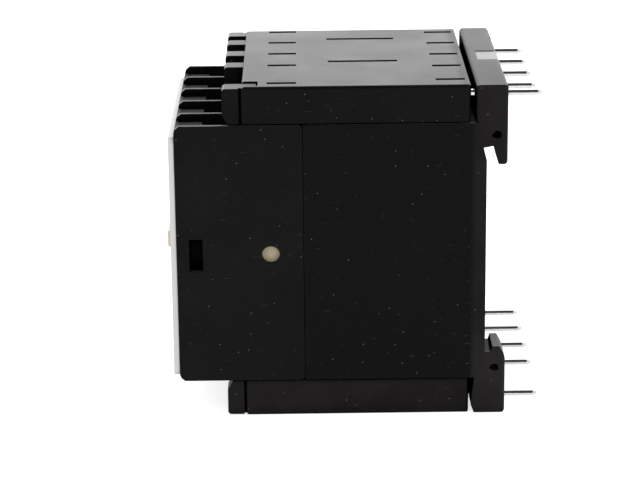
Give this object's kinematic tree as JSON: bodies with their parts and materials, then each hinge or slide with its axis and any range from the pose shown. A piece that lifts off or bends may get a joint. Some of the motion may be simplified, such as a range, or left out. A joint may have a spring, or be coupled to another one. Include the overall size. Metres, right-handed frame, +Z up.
{
  "type": "contactor",
  "caption": "Miniature four-pole contactor with round board pins, rail hooks, a sliding contact carrier, sprung bridges and a coil magnet.",
  "frame": {"origin": "centre of the bounding box at its lowest plane, the face it stands on", "axes": "+X across the lanes towards the coil lane, +Y from the front face to the board pins, +Z up"},
  "size_m": [0.045, 0.0642, 0.058],
  "materials": {
    "black_plastic": "fine matte moulded",
    "grey_plastic": "smooth matte moulded",
    "cream_plastic": "smooth moulded",
    "tinned_metal": "bright tinned",
    "contact_silver": "satin",
    "bridge_brass": "satin",
    "spring_steel": "bright",
    "core_steel": "stacked laminations",
    "copper": "bright",
    "winding_copper": "enamelled wire",
    "buffer_rubber": "matte",
    "bobbin_plastic": "smooth moulded"
  },
  "bodies": {
    "housing": {"rear_housing": "black_plastic", "front_housing": "black_plastic", "front_fascia": "grey_plastic", "upper_cover": "black_plastic", "lower_cover": "black_plastic", "upper_conductor_1": "tinned_metal", "upper_conductor_2": "tinned_metal", "upper_conductor_3": "tinned_metal", "upper_conductor_4": "tinned_metal", "lower_conductor_1": "tinned_metal", "lower_conductor_2": "tinned_metal", "lower_conductor_3": "tinned_metal", "lower_conductor_4": "tinned_metal", "upper_coil_terminal": "tinned_metal", "lower_coil_terminal": "tinned_metal", "fixed_contact_tips": "contact_silver", "contact_spring_1": "spring_steel", "contact_spring_2": "spring_steel", "contact_spring_3": "spring_steel", "contact_spring_4": "spring_steel", "return_spring_left": "spring_steel", "return_spring_right": "spring_steel", "fixed_core": "core_steel", "core_rivets": "spring_steel", "shading_rings": "copper", "core_buffers": "buffer_rubber", "coil_bobbin": "bobbin_plastic", "coil_winding": "winding_copper"},
    "carrier": {"contact_carrier": "cream_plastic", "armature": "core_steel", "armature_pin": "spring_steel", "armature_rivets": "spring_steel"},
    "bridge_1": {"moving_bridge_1": "bridge_brass", "moving_tips_1": "contact_silver"},
    "bridge_2": {"moving_bridge_2": "bridge_brass", "moving_tips_2": "contact_silver"},
    "bridge_3": {"moving_bridge_3": "bridge_brass", "moving_tips_3": "contact_silver"},
    "bridge_4": {"moving_bridge_4": "bridge_brass", "moving_tips_4": "contact_silver"}
  },
  "joints": [
    {"name": "carrier_slide", "type": "slide", "parent": "housing", "child": "carrier", "axis": [0, 1, 0], "range_m": [0, 0.0032], "stiffness_N_per_m": 450, "springref_m": -0.004, "deforming": ["return_spring_left", "return_spring_right"]},
    {"name": "bridge_1_spring_back", "type": "slide", "parent": "carrier", "child": "bridge_1", "axis": [0, -1, 0], "range_m": [0, 0.00122], "deforming": ["contact_spring_1"]},
    {"name": "bridge_2_spring_back", "type": "slide", "parent": "carrier", "child": "bridge_2", "axis": [0, -1, 0], "range_m": [0, 0.00122], "deforming": ["contact_spring_2"]},
    {"name": "bridge_3_spring_back", "type": "slide", "parent": "carrier", "child": "bridge_3", "axis": [0, -1, 0], "range_m": [0, 0.00122], "deforming": ["contact_spring_3"]},
    {"name": "bridge_4_spring_back", "type": "slide", "parent": "carrier", "child": "bridge_4", "axis": [0, -1, 0], "range_m": [0, 0.00122], "deforming": ["contact_spring_4"]}
  ],
  "couplings": [
    {"joint": "bridge_1_spring_back", "follows": "carrier_slide", "ratio": 0.375},
    {"joint": "bridge_2_spring_back", "follows": "carrier_slide", "ratio": 0.375},
    {"joint": "bridge_3_spring_back", "follows": "carrier_slide", "ratio": 0.375},
    {"joint": "bridge_4_spring_back", "follows": "carrier_slide", "ratio": 0.375}
  ]
}
